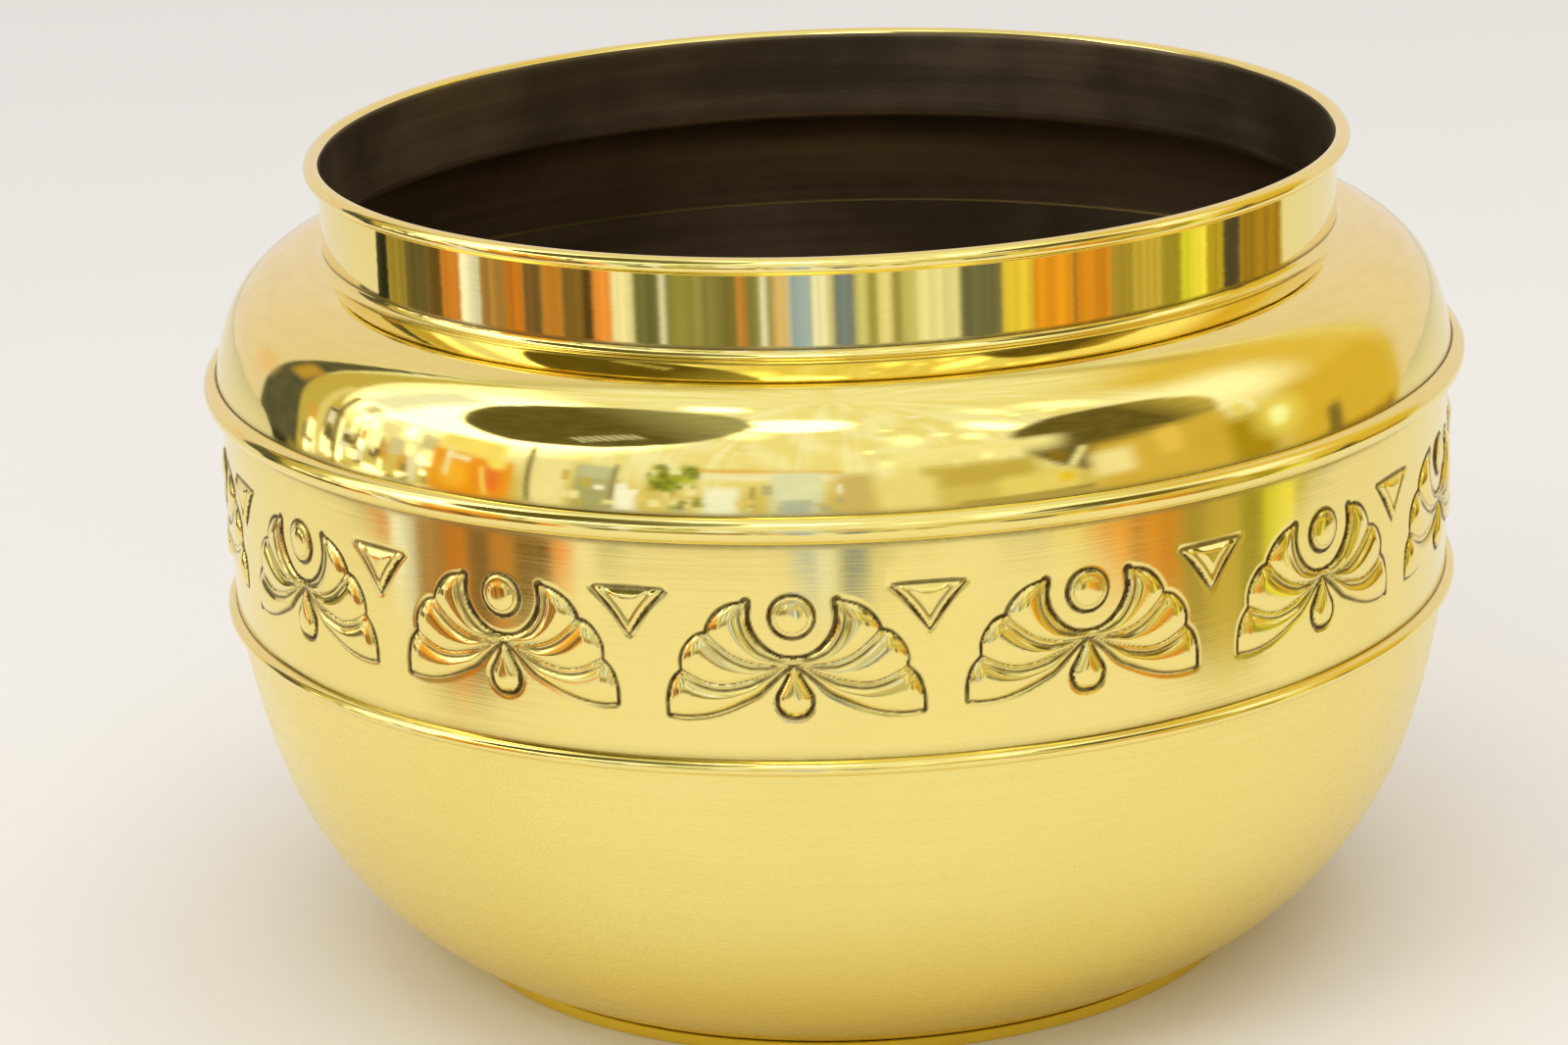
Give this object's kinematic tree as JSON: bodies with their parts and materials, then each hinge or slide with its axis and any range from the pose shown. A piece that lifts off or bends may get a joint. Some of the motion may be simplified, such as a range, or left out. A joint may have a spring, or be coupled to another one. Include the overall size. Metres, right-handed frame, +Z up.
{
  "type": "brass planter pot",
  "caption": "Round-bellied brass planter with an upright rolled-rim collar, a domed shoulder, beaded joints, an embossed palmette frieze and a low foot ring.",
  "frame": {"origin": "centre of the foot ring's underside, on the surface that the pot stands on", "axes": "+Z up along the pot's axis of turning; -Y is the front, with one palmette of the frieze about 4 degrees to the left of it as seen from the front; +X to the right"},
  "size_m": [0.3016, 0.3016, 0.1958],
  "materials": {
    "polished_foot": "polished yellow brass with fine turning lines",
    "satin_bowl": "satin-polished yellow brass outside, dark brown oxidised brass inside",
    "polished_bead": "bright polished yellow brass, with dark polish residue along its edges",
    "chased_band": "polished brass with fine level brush lines; dark brown lines chased round the relief",
    "mirror_shoulder": "mirror-polished yellow brass outside, dark brown oxidised brass inside",
    "mirror_collar": "mirror-polished yellow brass with faint spinning ripples, dark oxidised inside",
    "steel_wire": "plain drawn steel wire, hidden in the rolled rim"
  },
  "bodies": {
    "root": {"foot_ring": "polished_foot", "bowl": "satin_bowl", "lower_bead": "polished_bead", "frieze_band": "chased_band", "upper_bead": "polished_bead", "shoulder": "mirror_shoulder", "collar": "mirror_collar", "rim_wire": "steel_wire"}
  },
  "joints": []
}
